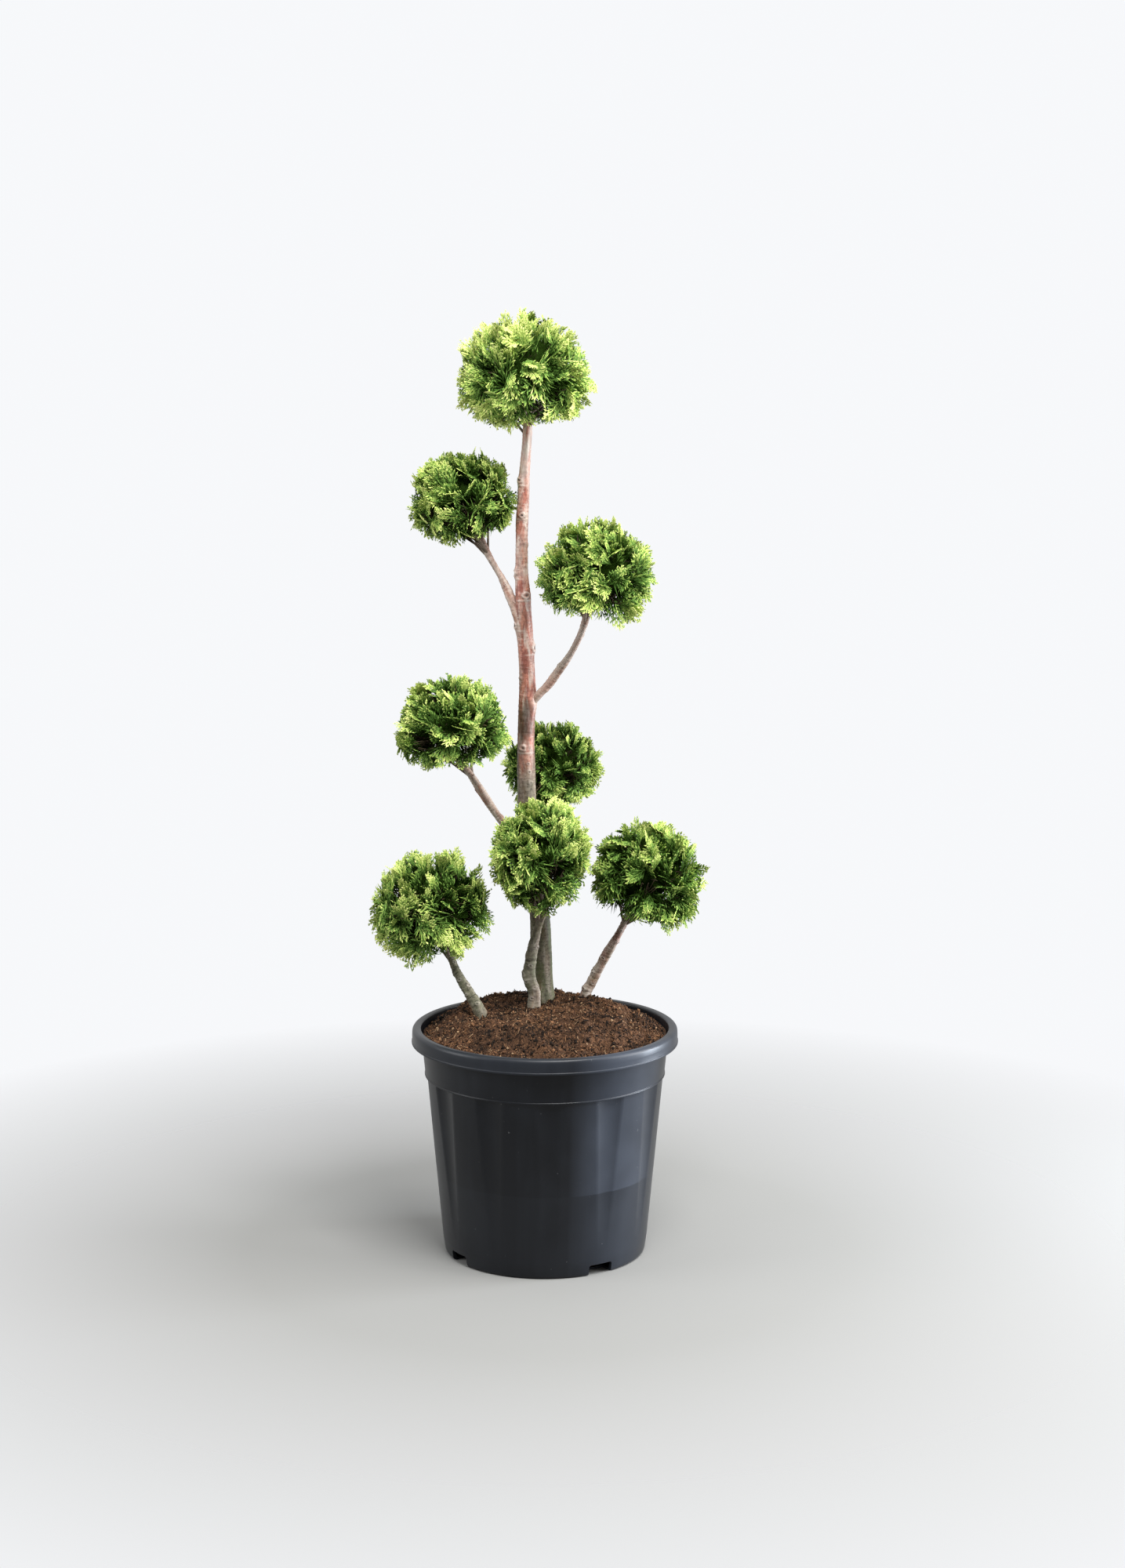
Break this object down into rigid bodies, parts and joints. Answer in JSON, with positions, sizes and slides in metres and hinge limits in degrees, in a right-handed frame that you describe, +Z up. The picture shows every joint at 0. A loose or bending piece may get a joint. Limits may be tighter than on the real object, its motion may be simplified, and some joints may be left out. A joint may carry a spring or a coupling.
{
  "type": "potted false cypress cloud-pruned tree",
  "caption": "Round black nursery pot of soil holding a small conifer: a bare trunk with boughs and side stems, each ending in a clipped ball of foliage.",
  "frame": {"origin": "middle of the pot's flat underside, where it stands", "axes": "+Z up along the plant, -Y towards the front of the plant, +X to the right of that view"},
  "size_m": [0.4499, 0.3867, 1.246],
  "materials": {
    "pot": "satin black plastic, lightly scuffed",
    "soil": "rough fibrous peat and bark",
    "bark": "smooth red-brown bark with cross lines and knots",
    "foliage": "soft scale-leaf sprays, yellow-green at the tips"
  },
  "bodies": {
    "root": {"pot": "pot", "soil": "soil", "trunk": "bark", "bough_upper_left": "bark", "bough_upper_right": "bark", "bough_middle_left": "bark", "bough_middle_back": "bark", "stem_front": "bark", "stem_lower_left": "bark", "stem_lower_right": "bark", "foliage_top": "foliage", "foliage_upper_left": "foliage", "foliage_upper_right": "foliage", "foliage_middle_left": "foliage", "foliage_middle_back": "foliage", "foliage_front": "foliage", "foliage_lower_left": "foliage", "foliage_lower_right": "foliage"}
  },
  "joints": []
}
